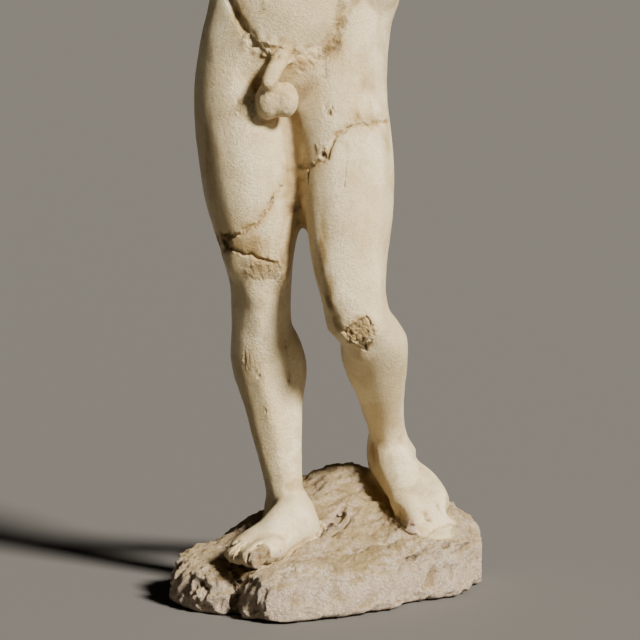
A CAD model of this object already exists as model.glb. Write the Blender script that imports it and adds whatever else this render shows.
"""Weathered cast-stone god statue on a rock: stone relief, material, studio floor and light, camera."""
import math

import bpy
import numpy as np
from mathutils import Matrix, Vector
from mathutils.bvhtree import BVHTree


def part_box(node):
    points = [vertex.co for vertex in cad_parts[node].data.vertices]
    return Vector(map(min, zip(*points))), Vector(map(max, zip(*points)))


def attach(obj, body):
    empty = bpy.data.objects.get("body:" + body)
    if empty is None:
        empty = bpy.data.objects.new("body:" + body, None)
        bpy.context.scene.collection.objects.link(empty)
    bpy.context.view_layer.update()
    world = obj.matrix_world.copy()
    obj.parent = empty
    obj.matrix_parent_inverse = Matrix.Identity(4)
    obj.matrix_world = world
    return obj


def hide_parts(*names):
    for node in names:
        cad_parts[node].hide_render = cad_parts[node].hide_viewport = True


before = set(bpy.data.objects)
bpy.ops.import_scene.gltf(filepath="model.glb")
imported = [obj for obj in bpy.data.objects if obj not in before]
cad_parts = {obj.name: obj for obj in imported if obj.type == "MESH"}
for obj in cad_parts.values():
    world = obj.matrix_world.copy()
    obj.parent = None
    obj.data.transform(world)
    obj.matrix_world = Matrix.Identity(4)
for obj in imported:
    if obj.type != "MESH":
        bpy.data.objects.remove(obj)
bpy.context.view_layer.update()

bl_info = {
    "name": "Weathered God Statue",
    "version": (1, 0, 0),
    "blender": (4, 5, 0),
    "location": "View3D > Sidebar > Statue",
    "description": "Dresses the god statue in weathered stone and sets its studio stage",
    "category": "Object",
}

NODE = "god_statue"
BODY = "root"
PIECE = "god_statue_stone"

# The camera, given as the picture it takes: square, with this focal length in picture points
PICTURE = 640
FOCAL = 3017.0
EYE = Vector((-0.0075, -3.0, 0.6))
PITCH = math.radians(6.1)
SENSOR = 36.0
AHEAD = Vector((0.0, math.cos(PITCH), -math.sin(PITCH)))
UPWARD = Vector((0.0, math.sin(PITCH), math.cos(PITCH)))
ASIDE = Vector((1.0, 0.0, 0.0))

MM = 0.001

# Lines of damage on the side that faces the camera, as (x, y) picture points
CRACKS = {
    "thigh_upper": [
        (281, 188), (272, 200), (266, 212), (261, 219), (255, 224), (247, 229), (238, 235), (226, 238),
    ],
    "thigh_lower": [
        (222, 243), (229, 247), (237, 252), (243, 255), (250, 255), (262, 260), (269, 261), (276, 264),
    ],
    "free_thigh": [
        (391, 122), (380, 123), (370, 125), (350, 126), (343, 131), (336, 136),
        (332, 142), (329, 151), (327, 157), (315, 164), (310, 167), (299, 167),
    ],
    "free_thigh_hair": [(346, 141), (347, 160), (345, 187)],
    "knee_top": [(366, 315), (371, 320), (376, 327)],
    "knee_rim": [(342, 332), (347, 338), (353, 343), (366, 351)],
    "little_toe": [(226, 547), (232, 545.5), (237, 541.5)],
    "fourth_toe": [(229, 554), (233.5, 548.5), (240, 544)],
    "middle_toe": [(235, 557), (239, 549.5), (246, 543)],
    "big_toe": [
        (264, 541), (256, 547), (249.5, 554), (247, 561), (251, 566.5),
        (259, 568), (272, 564.5), (279, 557), (280, 550),
    ],
    "free_toes": [(429, 521), (426, 516), (424, 511)],
    "free_little_toe": [(441, 512), (437, 506)],
    "groin_crease": [(230, 0), (237, 14), (244, 29), (255, 43)],
    "rock_cleft": [(317, 539), (326, 531), (336, 521), (346, 512)],
    "rock_groove": [(400, 563), (413, 557), (425, 551), (446, 547), (466, 545)],
    "rock_seam": [(430, 532), (440, 527), (451, 523)],
    "rock_foot": [(424, 601), (423, 595), (420, 590)],
    "rock_split": [(238, 566), (235, 578), (239, 590), (234, 604), (240, 618)],
    "rock_left": [(188, 562), (200, 572), (206, 588)],
    "rock_front": [(262, 575), (290, 571), (322, 577)],
}

# Width and depth in mm of an ordinary crack, and of those that are finer or coarser
ORDINARY = (1.8, 3.0)
CRACK_SIZES = {
    "free_thigh_hair": (0.7, 0.25),
    "knee_top": (0.8, 0.6),
    "knee_rim": (1.1, 1.2),
    "little_toe": (1.7, 2.4),
    "fourth_toe": (1.7, 2.6),
    "middle_toe": (1.8, 3.0),
    "big_toe": (1.3, 1.6),
    "free_toes": (2.4, 4.0),
    "free_little_toe": (1.6, 2.0),
    "groin_crease": (3.8, 2.4),
    "rock_cleft": (3.4, 6.0),
    "rock_groove": (4.5, 3.0),
    "rock_seam": (2.0, 2.0),
    "rock_foot": (3.0, 4.0),
    "rock_split": (4.2, 5.0),
    "rock_left": (3.0, 3.0),
    "rock_front": (2.0, 1.6),
}
COARSE = {name for name in CRACKS if name.startswith("rock")}
FAINT = COARSE | {"groin_crease"}
STAINED = {name for name in CRACKS if "thigh" in name or "knee" in name}

# Broken-off areas: corners in picture points and depth in mm
CHIPS = {
    "knee": (
        [(341, 331), (352, 325), (367, 316), (375, 325), (375, 336), (371, 343), (367, 350), (353, 342)],
        2.6,
    ),
    "thigh": (
        [(214, 240), (218, 232), (224, 235), (229, 231), (232, 238), (227, 243), (230, 248), (221, 254)],
        3.4,
    ),
}
# Half size of the picture window that is searched for a chip
CHIP_WINDOW = 80

# Sunken spots: (x, y) picture point, radius and depth in mm
PITS = [
    (221, 241, 3.6, 3.2), (228, 236, 2.2, 2.0), (226, 248, 2.0, 2.0), (323, 155, 4.6, 2.6),
    (329, 113, 4.2, 3.0), (325, 106, 2.6, 2.0), (333, 107, 2.6, 2.0), (334, 50, 2.6, 1.6),
    (325, 58, 2.0, 1.3), (325, 64, 1.8, 1.2), (327, 77, 2.2, 1.2), (220, 80, 2.4, 1.4),
    (349, 260, 1.9, 1.1), (329, 230, 2.2, 1.2), (286, 282, 2.4, 1.3), (286, 348, 3.0, 0.9),
    (259, 376, 3.2, 0.9), (288, 381, 3.4, 1.0), (265, 410, 2.4, 0.8), (245, 360, 4.0, 0.7),
    (262, 12, 3.6, 1.6),
]

# Middles of the band of curls over the groin, as picture points
HAIR_LINE = [
    (250, 42), (257, 46), (265, 49), (273, 51), (281, 53),
    (290, 55), (299, 57), (307, 59), (300, 65), (314, 55),
]

# Rough patches: (x, y) picture point, half width and half height in mm, share
PATCHES = [
    (266, 270, 22, 15, 1.0), (278, 277, 9, 7, 1.0), (359, 332, 20, 17, 1.0), (369, 118, 24, 7, 0.8),
    (341, 6, 8, 10, 1.0), (343, 22, 8, 10, 1.0), (337, 38, 8, 10, 1.0), (326, 52, 9, 8, 1.0),
    (312, 61, 9, 7, 0.8), (247, 108, 15, 20, 0.9), (280, 100, 30, 27, 0.3), (262, 9, 8, 9, 0.9),
    (286, 348, 8, 9, 0.6), (260, 376, 8, 8, 0.6), (288, 381, 7, 8, 0.6), (246, 360, 7, 9, 0.6),
    (226, 241, 10, 12, 1.0), (262, 556, 19, 11, 0.8), (448, 501, 7, 9, 0.8), (325, 112, 8, 9, 0.5),
    (267, 412, 6, 6, 0.5), (322, 150, 9, 9, 0.7),
]

# Ochre and brown stains: (x, y) picture point, half width and half height in mm, share
STAINS = [
    (323, 245, 6, 34, 1.0), (328, 295, 7, 28, 1.0), (338, 322, 8, 12, 0.9), (359, 330, 20, 16, 0.8),
    (369, 118, 26, 9, 0.7), (342, 14, 9, 20, 0.8), (333, 46, 11, 14, 0.8), (225, 242, 12, 14, 0.6),
    (262, 270, 26, 15, 0.5), (250, 246, 32, 14, 0.7), (322, 155, 12, 12, 0.7), (372, 455, 9, 14, 0.8),
    (262, 557, 18, 10, 0.6), (280, 100, 26, 20, 0.35), (258, 82, 9, 26, 0.8), (246, 108, 16, 20, 0.2),
    (240, 22, 12, 30, 0.7), (275, 52, 30, 14, 0.7), (290, 68, 26, 16, 0.5), (386, 135, 14, 24, 0.5),
    (292, 200, 13, 56, 1.0), (287, 262, 10, 36, 0.9), (448, 503, 9, 9, 0.6), (305, 380, 6, 50, 0.3),
    (232, 380, 6, 60, 0.5), (210, 180, 10, 70, 0.5),
]

# Feet and ankles, as (x, y, z, radius) beads in mm, and the height in mm over which there is no rock
FEET = [
    [
        (-36, 8, 150, 36), (-34, 6, 112, 40), (-28, -4, 78, 29), (-42, -26, 78, 30),
        (-58, -54, 70, 29), (-76, -80, 65, 28), (-90, -104, 60, 22),
    ],
    [
        (68, 94, 160, 30), (62, 104, 132, 32), (66, 92, 124, 34), (80, 64, 110, 35),
        (94, 38, 96, 33), (103, 12, 88, 29), (110, -6, 80, 22),
    ],
]
ROCK_CEILING = 136.0

# Fine forms that smoothing spares and a sole that it takes further: middle, half width and half height in mm
TOES = ((-82.0, -92.0, 60.0), 44.0, 30.0)
GROIN = ((-49.0, -60.0, 560.0), 48.0, 26.0)
FREE_SOLE = ((82.0, 10.0, 92.0), 29.0, 30.0)
# Heights in mm between which the head's fine forms begin, and the share of smoothing they are spared
HEAD_START, HEAD_FULL = 840.0, 880.0
SPARED = 0.8

# Reach of each turn of refining round the cracks, as shares of the crack reach
REFINING = (2.4, 1.7, 1.2, 0.8)

# Lean and stretch of the rock's layers
LAYERS = np.array([[0.80, 0.15, 0.0], [-0.25, 1.25, 0.0], [-0.45, 0.0, 1.3]])

# Gap in mm that the finished piece keeps to the box of the solid, and the reach in m that joins points
CLEARANCE = 0.05
JOINING = 0.00002

# Colours of the stone's finer marks, and the height in m of its finest grain
TAN_BLOTCH = (0.62, 0.47, 0.25)
ROSE_BLOTCH = (0.78, 0.58, 0.41)
UMBER_BLOTCH = (0.46, 0.31, 0.12)
GRIT = (0.40, 0.27, 0.13)
HOLLOW = (0.38, 0.25, 0.11)
OLD_DIRT = (0.15, 0.09, 0.04)
PORE = (0.30, 0.21, 0.11)
GRAIN_HEIGHT = 0.009


def lattice(cells, seed):
    """Random values from 0 to 1, one for each whole cell of space."""
    x, y, z = (cells[:, k].astype(np.uint64) for k in range(3))
    h = x * np.uint64(73856093) ^ y * np.uint64(19349663) ^ z * np.uint64(83492791)
    h ^= np.uint64(seed * 2654435761)
    h ^= h >> np.uint64(13)
    h *= np.uint64(0x9E3779B97F4A7C15)
    h ^= h >> np.uint64(31)
    return (h & np.uint64(0xFFFFFF)).astype(np.float64) / 0xFFFFFF


def grain(points, size, seed=1):
    """Smooth value noise from -1 to 1 with lumps of about the given size."""
    place = points / size + 4096.0
    low = np.floor(place).astype(np.int64)
    part = place - low
    part = part * part * (3 - 2 * part)
    total = np.zeros(len(points))
    for corner in np.ndindex(2, 2, 2):
        share = np.ones(len(points))
        for k in range(3):
            share *= part[:, k] if corner[k] else 1 - part[:, k]
        total += share * lattice(low + np.array(corner), seed)
    return total * 2 - 1


def fractal(points, size, layers=3, seed=1, fade=0.5):
    """Sum of finer and finer noise."""
    total = np.zeros(len(points))
    weight = 1.0
    for layer in range(layers):
        total += weight * grain(points, size / 2**layer, seed + layer * 17)
        weight *= fade
    return total


def ridged(points, size, layers=3, seed=1):
    """Noise with sharp crests."""
    total = np.zeros(len(points))
    weight = 1.0
    for layer in range(layers):
        total += weight * (1 - 2 * np.abs(grain(points, size / 2**layer, seed + layer * 17)))
        weight *= 0.5
    return total


def pebbles(points, size, seed=1):
    """Rounded grains of about the given size: 1 on their crowns, 0 between them."""
    place = points / size + 4096.0
    low = np.floor(place).astype(np.int64)
    nearest = np.full(len(points), 9.0)
    for corner in np.ndindex(3, 3, 3):
        cell = low + np.array(corner) - 1
        middle = cell + np.stack([lattice(cell, seed + k) for k in range(3)], 1)
        nearest = np.minimum(nearest, np.linalg.norm(place - middle, axis=1))
    return 1 - np.clip(nearest, 0, 1)


def smooth(low, high, value):
    """Eased step from 0 at low to 1 at high."""
    t = np.clip((value - low) / (high - low), 0, 1)
    return t * t * (3 - 2 * t)


class Skin:
    """Vertices of a mesh in millimetres, with their normals and neighbours."""

    def __init__(self, mesh):
        self.mesh = mesh
        self.points = np.empty(len(mesh.vertices) * 3, np.float32)
        mesh.vertices.foreach_get("co", self.points)
        self.points = self.points.reshape(-1, 3).astype(np.float64) / MM
        self.edges = np.empty(len(mesh.edges) * 2, np.int32)
        mesh.edges.foreach_get("vertices", self.edges)
        self.edges = self.edges.reshape(-1, 2)
        mesh.calc_loop_triangles()
        self.faces = np.empty(len(mesh.loop_triangles) * 3, np.int32)
        mesh.loop_triangles.foreach_get("vertices", self.faces)
        self.faces = self.faces.reshape(-1, 3)
        self.valence = np.maximum(np.bincount(self.edges.ravel(), minlength=len(self.points)), 1)

    def around(self, values):
        """Mean of each vertex's neighbours."""
        a, b = self.edges.T
        count = len(self.points)
        if values.ndim == 1:
            total = np.bincount(a, values[b], count) + np.bincount(b, values[a], count)
            return total / self.valence
        return np.stack([self.around(values[:, k]) for k in range(values.shape[1])], 1)

    def relax(self, turns, share, hold=0.53):
        """Smooths by a share for each vertex; a hold over a half keeps the size, one of 0 lets it shrink."""
        weight = np.broadcast_to(np.asarray(share, float), (len(self.points),))[:, None]
        for _ in range(turns):
            self.points += 0.5 * weight * (self.around(self.points) - self.points)
            self.points -= hold * weight * (self.around(self.points) - self.points)

    def normals(self):
        """Unit normals of the vertices."""
        a, b, c = (self.points[self.faces[:, k]] for k in range(3))
        across = np.cross(b - a, c - a)
        count = len(self.points)
        total = np.zeros((count, 3))
        for k in range(3):
            for corner in range(3):
                total[:, k] += np.bincount(self.faces[:, corner], across[:, k], count)
        return total / (np.linalg.norm(total, axis=1, keepdims=True) + 1e-12)

    def push(self, heights):
        """Moves the surface outwards by a height for each vertex."""
        self.points += self.normals() * heights[:, None]

    def store(self):
        """Writes the places back to the mesh."""
        self.mesh.vertices.foreach_set("co", (self.points * MM).astype(np.float32).ravel())
        self.mesh.update()


def picture_ray(x, y):
    """Direction of the sight line through a picture point."""
    half = PICTURE / 2
    return (AHEAD * FOCAL + ASIDE * (x - half) - UPWARD * (y - half)).normalized()


def picture_place(points):
    """Picture points of places in millimetres."""
    rel = points * MM - np.array(EYE)
    depth = rel @ np.array(AHEAD)
    half = PICTURE / 2
    return half + FOCAL * rel[:, 0] / depth, half - FOCAL * (rel @ np.array(UPWARD)) / depth


def inset(x, y, corners):
    """How far inside a polygon each picture point lies, negative outside."""
    inside = np.zeros(len(x), bool)
    best = np.full(len(x), 1e9)
    for (x0, y0), (x1, y1) in zip(corners, corners[1:] + corners[:1]):
        dx, dy = x1 - x0, y1 - y0
        inside ^= ((y0 > y) != (y1 > y)) & (x < dx * (y - y0) / (dy or 1e-9) + x0)
        t = np.clip(((x - x0) * dx + (y - y0) * dy) / (dx * dx + dy * dy), 0, 1)
        best = np.minimum(best, np.hypot(x - x0 - t * dx, y - y0 - t * dy))
    return np.where(inside, best, -best)


class Surface:
    """Finds where sight lines meet the stone."""

    def __init__(self, skin):
        self.tree = BVHTree.FromPolygons((skin.points * MM).tolist(), skin.faces.tolist())

    def seen(self, x, y):
        """Place in millimetres seen at a picture point, or None."""
        place, normal, _, _ = self.tree.ray_cast(EYE, picture_ray(x, y))
        return None if place is None else np.array(place) / MM

    def line(self, pixels, spacing=2.0):
        """The places seen along a broken line of picture points."""
        places = []
        for (x0, y0), (x1, y1) in zip(pixels, pixels[1:]):
            steps = max(1, round(math.hypot(x1 - x0, y1 - y0) / spacing))
            for i in range(steps):
                spot = self.seen(x0 + (x1 - x0) * i / steps, y0 + (y1 - y0) * i / steps)
                if spot is not None:
                    places.append(spot)
        spot = self.seen(*pixels[-1])
        if spot is not None:
            places.append(spot)
        return [p for k, p in enumerate(places) if k == 0 or np.linalg.norm(p - places[k - 1]) < 9 * spacing]


def path_distance(points, path, reach=14.0):
    """Distance of each point from a path, up to a reach."""
    distance = np.full(len(points), reach)
    path = np.array(path)
    near = np.all((points > path.min(0) - reach) & (points < path.max(0) + reach), axis=1)
    here = points[near]
    best = np.full(len(here), reach)
    for a, b in zip(path[:-1], path[1:]):
        along = b - a
        t = np.clip(((here - a) @ along) / max(along @ along, 1e-9), 0, 1)
        best = np.minimum(best, np.linalg.norm(here - a - t[:, None] * along, axis=1))
    distance[near] = best
    return distance


def spot_share(points, middle, wide, tall):
    """Share from 1 in the middle to 0 at the edge of an upright oval spot."""
    rel = points - middle
    flat = np.linalg.norm(rel[:, :2], axis=1) / wide
    away = np.sqrt(flat**2 + (rel[:, 2] / tall) ** 2)
    return smooth(1.15, 0.55, away)


def foot_share(points):
    """1 on the feet and legs, 0 on the rock."""
    share = smooth(ROCK_CEILING - 12, ROCK_CEILING, points[:, 2])
    for beads in FEET:
        for (x0, y0, z0, r0), (x1, y1, z1, r1) in zip(beads, beads[1:]):
            a, b = np.array([x0, y0, z0]), np.array([x1, y1, z1])
            along = b - a
            t = np.clip(((points - a) @ along) / (along @ along), 0, 1)
            away = np.linalg.norm(points - a - t[:, None] * along, axis=1) - (r0 + (r1 - r0) * t)
            share = np.maximum(share, smooth(5.0, 0.0, away))
    return share


def select_only(obj):
    """Makes an object the only selected and the active one."""
    bpy.ops.object.select_all(action="DESELECT")
    obj.select_set(True)
    bpy.context.view_layer.objects.active = obj


def apply_modifier(obj, kind, **values):
    """Adds a modifier to the active object, sets it and applies it."""
    modifier = obj.modifiers.new(kind.title(), kind)
    for name, value in values.items():
        setattr(modifier, name, value)
    bpy.ops.object.modifier_apply(modifier=modifier.name)


def refine(obj, chosen):
    """Splits the edges between chosen vertices and keeps all faces triangles."""
    mesh = obj.data
    mesh.vertices.foreach_set("select", chosen)
    ends = np.empty(len(mesh.edges) * 2, np.int32)
    mesh.edges.foreach_get("vertices", ends)
    mesh.edges.foreach_set("select", chosen[ends].reshape(-1, 2).all(1))
    corners = np.empty(len(mesh.polygons) * 3, np.int32)
    mesh.polygons.foreach_get("vertices", corners)
    mesh.polygons.foreach_set("select", chosen[corners].reshape(-1, 3).all(1))
    bpy.ops.object.mode_set(mode="EDIT")
    bpy.ops.mesh.select_mode(type="VERT")
    bpy.ops.mesh.subdivide(number_cuts=1)
    bpy.ops.mesh.select_all(action="SELECT")
    bpy.ops.mesh.quads_convert_to_tris(quad_method="BEAUTY", ngon_method="BEAUTY")
    bpy.ops.object.mode_set(mode="OBJECT")


def crack_paths(surface):
    """The cracks as paths on the stone."""
    paths = {}
    for name, pixels in CRACKS.items():
        path = surface.line(pixels)
        if len(path) > 1:
            paths[name] = path
    return paths


def chip_share(skin, corners):
    """1 inside a broken-off area that faces the camera, 0 outside it."""
    x, y = picture_place(skin.points)
    near = (np.abs(x - corners[0][0]) < CHIP_WINDOW) & (np.abs(y - corners[0][1]) < CHIP_WINDOW)
    near &= (skin.normals() @ np.array(AHEAD)) < 0.1
    share = np.zeros(len(x))
    edge = 0.9 * grain(skin.points[near], 5.0, 51)
    share[near] = smooth(-0.7, 0.9, inset(x[near], y[near], corners) + edge)
    return share


def damage(skin, surface, paths):
    """Height changes, darkness and stained edges of cracks, chips, pits and rough patches."""
    points = skin.points
    wander = np.stack([fractal(points, 5.0, 2, 5 + k) for k in range(3)], 1)
    heights = np.zeros(len(points))
    dark = np.zeros(len(points))
    halo = np.zeros(len(points))
    for name, path in paths.items():
        width, depth = CRACK_SIZES.get(name, ORDINARY)
        away = path_distance(points + wander * 0.8 * min(width, 1.6), path, 9 * width)
        open_share = 0.85 + 0.3 * grain(points, 11.0, 31)
        heights -= depth * open_share * smooth(width * 1.7, width * 0.2, away)
        worn_edge = smooth(width * 4.0, width, away) * (0.6 + 0.4 * grain(points, 4.0, 77))
        heights -= 0.4 * min(depth, 1.0) * worn_edge
        tone = 0.4 if name in FAINT else min(1.0, depth + 0.3)
        dark = np.maximum(dark, open_share * smooth(width * 1.3, width * 0.3, away) * tone)
        if name in STAINED:
            halo = np.maximum(halo, min(1.0, depth) * smooth(width * 5.0, width, away))
    uneven = 1 + 0.3 * grain(points, 4.0, 9)
    for x, y, radius, depth in PITS:
        middle = surface.seen(x, y)
        if middle is not None:
            away = np.linalg.norm(points - middle, axis=1) / (radius * uneven)
            heights -= depth * smooth(1.0, 0.35, away)
            dark = np.maximum(dark, min(0.75, 0.25 * depth) * smooth(0.95, 0.3, away))
    rough = spots(points, surface, PATCHES)
    crumbs = np.zeros(len(points))
    some = rough > 0.02
    crumbs[some] = 2.2 * pebbles(points[some], 4.2, 21) + 0.9 * pebbles(points[some], 2.3, 22) - 1.2
    heights += rough * crumbs
    for corners, depth in CHIPS.values():
        share = chip_share(skin, corners)
        heights -= share * depth * (1.0 - 0.45 * grain(points, 3.4, 63) - 0.3 * grain(points, 9.0, 64))
        dark = np.maximum(dark, 0.45 * share * smooth(0.1, -0.6, grain(points, 3.4, 63)))
    return heights, dark, halo


def spots(points, surface, table):
    """The strongest share that any spot of a table gives each point."""
    share = np.zeros(len(points))
    wander = np.stack([grain(points, 7.0, 3 + k) for k in range(3)], 1)
    for x, y, wide, tall, strength in table:
        middle = surface.seen(x, y)
        if middle is not None:
            moved = points + 0.25 * min(wide, tall) * wander
            share = np.maximum(share, strength * spot_share(moved, middle, wide, tall))
    return share


def rock_relief(points, share):
    """Height changes of the rock: slanting ridges, hollows and grit."""
    warped = points + 5.0 * np.stack([grain(points, 24.0, 33 + k) for k in range(3)], 1)
    laid = warped @ LAYERS.T
    heights = 3.0 * ridged(laid, 40.0, 2, 41) + 3.0 * ridged(laid, 15.0, 2, 61)
    heights += 1.5 * ridged(laid, 6.5, 1, 67)
    some = share > 0.02
    heights[some] += 2.0 * pebbles(points[some], 6.5, 71) + 1.6 * pebbles(points[some], 3.8, 72) - 2.4
    return heights * share * smooth(0.0, 9.0, points[:, 2])


def curls(points, surface):
    """Height changes of the worn curls over the groin."""
    share = np.zeros(len(points))
    for x, y in HAIR_LINE:
        middle = surface.seen(x, y)
        if middle is not None:
            share = np.maximum(share, smooth(10.0, 7.0, np.linalg.norm(points - middle, axis=1)))
    heights = np.zeros(len(points))
    some = share > 0.02
    heights[some] = 4.4 * np.sqrt(pebbles(points[some], 7.0, 81)) - 1.9
    return heights * share


def colour_property(name, description, default):
    """A colour that the panel shows."""
    return bpy.props.FloatVectorProperty(
        name=name, description=description, default=default, size=3, min=0.0, max=1.0, subtype="COLOR",
    )


class StoneSettings(bpy.types.PropertyGroup):
    """Sizes of the stone's mesh and relief, and its colours."""

    voxel: bpy.props.FloatProperty(
        name="Voxel", description="Edge of the remeshing grid", default=0.0024, min=0.001,
        unit="LENGTH", subtype="DISTANCE",
    )
    triangle_limit: bpy.props.IntProperty(
        name="Triangles", description="Most triangles the finished piece has", default=190000, min=1000,
    )
    calm_triangles: bpy.props.IntProperty(
        name="Calm triangles", description="Triangles before the relief is refined", default=84000, min=1000,
    )
    smoothing: bpy.props.IntProperty(
        name="Smoothing", description="Turns of smoothing that take the facets out", default=14, min=0,
    )
    crack_reach: bpy.props.FloatProperty(
        name="Crack reach", description="How far from a crack the mesh is refined", default=0.006, min=0.0,
        unit="LENGTH", subtype="DISTANCE",
    )
    body_colour: colour_property("Body", "Ivory of the figure", (0.88, 0.765, 0.50))
    body_shade: colour_property("Body clouds", "Darker clouds on the figure", (0.68, 0.53, 0.28))
    side_colour: colour_property("Rock side", "Pale steep faces of the rock", (0.94, 0.80, 0.62))
    top_colour: colour_property("Rock top", "Ochre flat faces of the rock", (0.80, 0.62, 0.31))
    stain_colour: colour_property("Stain", "Ochre patina round the damage", (0.45, 0.30, 0.12))
    crack_colour: colour_property("Cracks", "Dark inside of the cracks", (0.04, 0.025, 0.012))


class STATUE_OT_dress(bpy.types.Operator):
    """Turns the plain solid into a weathered stone figure on its rock"""

    bl_idname = "statue.dress"
    bl_label = "Dress the Statue"
    bl_options = {"REGISTER", "UNDO"}

    def execute(self, context):
        settings = context.scene.statue_stone
        piece = self.merged_copy(context)
        self.round_off(piece, settings)
        surface = Surface(Skin(piece.data))
        paths = crack_paths(surface)
        for turn in range(len(REFINING)):
            self.refine_near(piece, surface, paths, turn, settings.crack_reach / MM)
        self.carve(piece, surface, paths)
        triangles = len(piece.data.polygons)
        if triangles > settings.triangle_limit:
            apply_modifier(piece, "DECIMATE", ratio=settings.triangle_limit / triangles)
        self.paint(piece, surface, paths)
        bpy.ops.object.shade_smooth()
        piece.data.materials.clear()
        piece.data.materials.append(stone_material(settings))
        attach(piece, BODY)
        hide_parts(NODE)
        return {"FINISHED"}

    def merged_copy(self, context):
        """A copy of the solid whose loose triangles are joined."""
        piece = bpy.data.objects.new(PIECE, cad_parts[NODE].data.copy())
        context.collection.objects.link(piece)
        select_only(piece)
        bpy.ops.object.mode_set(mode="EDIT")
        bpy.ops.mesh.select_all(action="SELECT")
        bpy.ops.mesh.remove_doubles(threshold=JOINING)
        bpy.ops.object.mode_set(mode="OBJECT")
        return piece

    def round_off(self, piece, settings):
        """Takes the facets out of the solid and leaves calm, even triangles."""
        apply_modifier(piece, "SUBSURF", levels=2, render_levels=2)
        apply_modifier(piece, "REMESH", mode="VOXEL", voxel_size=settings.voxel)
        apply_modifier(piece, "TRIANGULATE")
        skin = Skin(piece.data)
        fine = smooth(HEAD_START, HEAD_FULL, skin.points[:, 2])
        for middle, wide, tall in (TOES, GROIN):
            fine = np.maximum(fine, spot_share(skin.points, np.array(middle), wide, tall))
        skin.relax(settings.smoothing, 1 - SPARED * fine)
        middle, wide, tall = FREE_SOLE
        skin.relax(settings.smoothing * 2, spot_share(skin.points, np.array(middle), wide, tall), 0.0)
        skin.store()
        apply_modifier(piece, "DECIMATE", ratio=min(1.0, settings.calm_triangles / len(piece.data.polygons)))

    def carve(self, piece, surface, paths):
        """Moves the surface to the rock's relief, the damage, the curls and the grain of the stone."""
        low, high = (np.array(corner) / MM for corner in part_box(NODE))
        skin = Skin(piece.data)
        skin.push(rock_relief(skin.points, 1 - foot_share(skin.points)))
        heights, _, _ = damage(skin, surface, paths)
        heights += curls(skin.points, surface)
        heights += 0.35 * fractal(skin.points, 22.0, 2, 91) + 0.12 * fractal(skin.points, 6.0, 2, 95)
        skin.push(heights)
        skin.points = np.clip(skin.points, low + CLEARANCE, high - CLEARANCE)
        skin.store()

    def refine_near(self, piece, surface, paths, turn, reach):
        """Splits the mesh once where relief is to come, ever closer to the finest lines."""
        skin = Skin(piece.data)
        points = skin.points
        margin = reach * REFINING[turn]
        chosen = np.zeros(len(points), bool)
        for name, path in paths.items():
            if turn < 2 or name not in COARSE:
                chosen |= path_distance(points, path, 20.0) < margin
        for corners, _ in CHIPS.values():
            chosen |= chip_share(skin, corners) > 0.01
        if turn < 2:
            chosen |= spots(points, surface, PATCHES) > 0.01
        if turn < 3:
            chosen |= np.abs(curls(points, surface)) > 0.001
        if turn == 0:
            chosen |= (foot_share(points) < 0.9) & (points[:, 2] > 2.0)
        refine(piece, chosen)

    def paint(self, piece, surface, paths):
        """Stores how rough, stained, dark and rocky each point is, for the material."""
        skin = Skin(piece.data)
        points = skin.points
        normals = skin.normals()
        _, dark, halo = damage(skin, surface, paths)
        stains = np.maximum(spots(points, surface, STAINS), 0.55 * halo)
        rock = 1 - foot_share(points)
        soft = points.copy()
        for _ in range(10):
            soft = skin.around(soft)
        hollow = np.clip(((soft - points) * normals).sum(1) / (1.2 + 2.0 * rock), -1, 1)
        values = {
            "rough": spots(points, surface, PATCHES),
            "stain": np.clip(stains * (0.7 + 0.5 * fractal(points, 9.0, 3, 13)), 0, 1),
            "crack": dark,
            "rock": rock,
            "hollow": hollow,
            "upward": smooth(0.25, 0.85, normals[:, 2]),
        }
        for name, value in values.items():
            attribute = piece.data.attributes.new(name, "FLOAT", "POINT")
            attribute.data.foreach_set("value", value.astype(np.float32))


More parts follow.
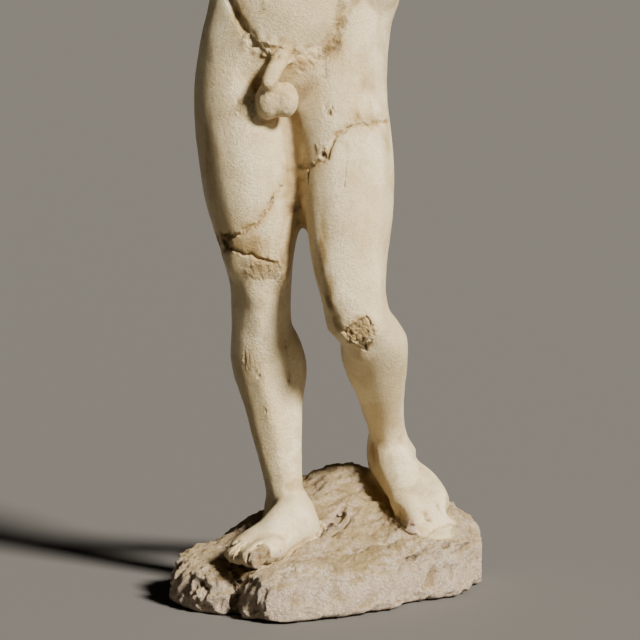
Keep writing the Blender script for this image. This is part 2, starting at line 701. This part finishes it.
def stone_material(settings):
    """Ivory cast stone with ochre patina, dark cracks and gritty rock."""
    material = bpy.data.materials.new("Weathered cast stone")
    material.use_nodes = True
    nodes, links = material.node_tree.nodes, material.node_tree.links
    nodes.clear()

    def node(kind, **values):
        made = nodes.new(kind)
        for name, value in values.items():
            setattr(made, name, value)
        return made

    def attribute(name):
        return node("ShaderNodeAttribute", attribute_name=name).outputs["Fac"]

    def noise(scale, detail=4.0, roughness=0.6):
        made = node("ShaderNodeTexNoise")
        made.inputs["Scale"].default_value = scale
        made.inputs["Detail"].default_value = detail
        made.inputs["Roughness"].default_value = roughness
        links.new(coordinates.outputs["Object"], made.inputs["Vector"])
        return made.outputs["Fac"]

    def math_node(operation, first, second, clamp=False):
        made = node("ShaderNodeMath", operation=operation, use_clamp=clamp)
        for socket, value in zip(made.inputs, (first, second)):
            if isinstance(value, (int, float)):
                socket.default_value = value
            else:
                links.new(value, socket)
        return made.outputs[0]

    def spread(value, low, high, start=0.0, end=1.0):
        made = node("ShaderNodeMapRange")
        made.inputs["From Min"].default_value = low
        made.inputs["From Max"].default_value = high
        made.inputs["To Min"].default_value = start
        made.inputs["To Max"].default_value = end
        links.new(value, made.inputs["Value"])
        return made.outputs["Result"]

    def mix(factor, first, second):
        made = node("ShaderNodeMix", data_type="RGBA")
        links.new(factor, made.inputs["Factor"])
        for key, value in (("A", first), ("B", second)):
            socket = [s for s in made.inputs if s.name == key and s.type == "RGBA"][0]
            if isinstance(value, tuple):
                socket.default_value = (*value, 1.0)
            else:
                links.new(value, socket)
        return [s for s in made.outputs if s.type == "RGBA"][0]

    coordinates = node("ShaderNodeTexCoord")
    rough, stain, crack = (attribute(name) for name in ("rough", "stain", "crack"))
    rock, hollow, upward = (attribute(name) for name in ("rock", "hollow", "upward"))
    gritty = math_node("MAXIMUM", rock, rough)
    clouds = noise(9.0, 5.0, 0.6)
    blotches = noise(45.0, 6.0, 0.65)
    lumps = noise(260.0, 8.0, 0.8)
    grit = noise(420.0, 3.0, 0.6)
    pores = noise(900.0, 2.0, 0.5)

    body = mix(spread(clouds, 0.35, 0.65), tuple(settings.body_colour), tuple(settings.body_shade))
    body = mix(spread(blotches, 0.47, 0.66, 0.0, 0.75), body, TAN_BLOTCH)
    side = mix(spread(blotches, 0.3, 0.7), tuple(settings.side_colour), ROSE_BLOTCH)
    top = mix(spread(blotches, 0.32, 0.68), tuple(settings.top_colour), UMBER_BLOTCH)
    ledge = math_node("MULTIPLY", upward, spread(clouds, 0.3, 0.6, 0.6, 1.0), True)
    colour = mix(rock, body, mix(ledge, side, top))
    grainy = math_node("MULTIPLY", spread(grit, 0.45, 0.65), spread(gritty, 0.0, 1.0, 0.25, 0.6), True)
    colour = mix(grainy, colour, GRIT)
    sunk = math_node("MULTIPLY", spread(hollow, 0.06, 0.6), spread(blotches, 0.3, 0.6, 0.5, 1.0), True)
    colour = mix(math_node("MULTIPLY", sunk, 0.75), colour, HOLLOW)
    patina = math_node("MULTIPLY", stain, spread(blotches, 0.35, 0.6, 0.45, 1.0), True)
    colour = mix(spread(patina, 0.0, 0.5, 0.0, 0.9), colour, tuple(settings.stain_colour))
    colour = mix(spread(patina, 0.5, 0.95, 0.0, 0.9), colour, OLD_DIRT)
    cloudy = spread(clouds, 0.4, 0.6, 0.4, 1.0)
    speck = math_node("MULTIPLY", spread(pores, 0.62, 0.72, 0.0, 0.5), cloudy, True)
    colour = mix(speck, colour, PORE)
    colour = mix(spread(crack, 0.12, 0.6, 0.0, 0.97), colour, tuple(settings.crack_colour))

    relief = math_node("ADD", math_node("MULTIPLY", grit, 0.8), math_node("MULTIPLY", lumps, 1.6))
    strength = math_node("MAXIMUM", spread(rock, 0.0, 1.0, 0.4, 0.8), spread(rough, 0.0, 1.0, 0.0, 0.7))
    bump = node("ShaderNodeBump")
    bump.inputs["Distance"].default_value = GRAIN_HEIGHT
    links.new(strength, bump.inputs["Strength"])
    links.new(relief, bump.inputs["Height"])

    shader = node("ShaderNodeBsdfPrincipled")
    links.new(colour, shader.inputs["Base Color"])
    links.new(spread(gritty, 0.0, 1.0, 0.36, 0.8), shader.inputs["Roughness"])
    shader.inputs["Specular IOR Level"].default_value = 0.45
    links.new(bump.outputs["Normal"], shader.inputs["Normal"])
    output = node("ShaderNodeOutputMaterial")
    links.new(shader.outputs["BSDF"], output.inputs["Surface"])
    return material


class StageSettings(bpy.types.PropertyGroup):
    """Studio floor, light and camera."""

    floor_size: bpy.props.FloatProperty(
        name="Floor", description="Edge of the floor", default=4000.0, min=1.0,
        unit="LENGTH", subtype="DISTANCE",
    )
    floor_colour: colour_property("Floor colour", "Even tone of the floor", (0.15, 0.141, 0.128))
    key: bpy.props.FloatProperty(name="Key", description="Strength of the key light", default=9.2, min=0.0)
    key_width: bpy.props.FloatProperty(
        name="Key width", description="Angle that the key light spans, which softens its shadows",
        default=math.radians(11.0), min=0.0, unit="ROTATION", subtype="ANGLE",
    )
    key_turn: bpy.props.FloatProperty(
        name="Key turn", description="Angle of the key light to the viewer's right of the front",
        default=math.radians(44.0), unit="ROTATION", subtype="ANGLE",
    )
    key_rise: bpy.props.FloatProperty(
        name="Key rise", description="Angle of the key light above the floor",
        default=math.radians(33.0), unit="ROTATION", subtype="ANGLE",
    )
    sky: bpy.props.FloatProperty(name="Sky", description="Strength of the even light", default=0.02, min=0.0)


class STATUE_OT_stage(bpy.types.Operator):
    """Lays the floor and sets the light and the camera"""

    bl_idname = "statue.stage"
    bl_label = "Set the Stage"
    bl_options = {"REGISTER", "UNDO"}

    def execute(self, context):
        settings = context.scene.statue_stage
        self.floor(settings)
        self.key(settings)
        world = bpy.data.worlds.new("Studio")
        world.use_nodes = True
        background = world.node_tree.nodes["Background"]
        background.inputs["Color"].default_value = (0.62, 0.61, 0.60, 1.0)
        background.inputs["Strength"].default_value = settings.sky
        context.scene.world = world
        self.camera(context)
        return {"FINISHED"}

    def floor(self, settings):
        """A plain pale floor."""
        bpy.ops.object.select_all(action="DESELECT")
        bpy.ops.mesh.primitive_plane_add(size=settings.floor_size, location=(0.0, 0.0, 0.0))
        floor = bpy.context.active_object
        floor.name = "studio_floor"
        material = bpy.data.materials.new("Pale floor")
        material.use_nodes = True
        shader = material.node_tree.nodes["Principled BSDF"]
        shader.inputs["Base Color"].default_value = (*settings.floor_colour, 1.0)
        shader.inputs["Roughness"].default_value = 0.85
        floor.data.materials.append(material)

    def key(self, settings):
        """A broad far lamp at the viewer's right, as even on the floor behind as on the piece."""
        level = math.cos(settings.key_rise)
        turn = settings.key_turn
        place = Vector((math.sin(turn) * level, -math.cos(turn) * level, math.sin(settings.key_rise))) * 5.0
        bpy.ops.object.select_all(action="DESELECT")
        bpy.ops.object.light_add(type="SUN", location=place)
        lamp = bpy.context.active_object
        lamp.name = "Key"
        lamp.rotation_euler = (-place).to_track_quat("-Z", "Y").to_euler()
        lamp.data.energy = settings.key
        lamp.data.angle = settings.key_width
        lamp.data.color = (1.0, 0.955, 0.88)

    def camera(self, context):
        """The camera, at the picture's viewing angle."""
        bpy.ops.object.select_all(action="DESELECT")
        bpy.ops.object.camera_add(location=EYE, rotation=(math.pi / 2 - PITCH, 0.0, 0.0))
        camera = bpy.context.active_object
        camera.name = "Camera"
        camera.data.sensor_width = SENSOR
        camera.data.lens = FOCAL * SENSOR / PICTURE
        camera.data.clip_end = 5000.0
        context.scene.camera = camera


class STATUE_PT_panel(bpy.types.Panel):
    """Buttons and sizes for the statue"""

    bl_idname = "STATUE_PT_panel"
    bl_label = "God Statue"
    bl_space_type = "VIEW_3D"
    bl_region_type = "UI"
    bl_category = "Statue"

    def draw(self, context):
        for settings, operator in (("statue_stone", "statue.dress"), ("statue_stage", "statue.stage")):
            box = self.layout.box()
            group = getattr(context.scene, settings)
            for name in group.bl_rna.properties.keys():
                if name not in {"rna_type", "name"}:
                    box.prop(group, name)
            box.operator(operator)


CLASSES = (StoneSettings, StageSettings, STATUE_OT_dress, STATUE_OT_stage, STATUE_PT_panel)


def register():
    """Registers the classes and their settings."""
    for cls in CLASSES:
        bpy.utils.register_class(cls)
    bpy.types.Scene.statue_stone = bpy.props.PointerProperty(type=StoneSettings)
    bpy.types.Scene.statue_stage = bpy.props.PointerProperty(type=StageSettings)


def unregister():
    """Takes the classes and their settings out again."""
    del bpy.types.Scene.statue_stage
    del bpy.types.Scene.statue_stone
    for cls in reversed(CLASSES):
        bpy.utils.unregister_class(cls)


def main():
    """Builds the scene and notes its size."""
    register()
    bpy.ops.statue.dress()
    bpy.ops.statue.stage()


if __name__ == "__main__":
    main()
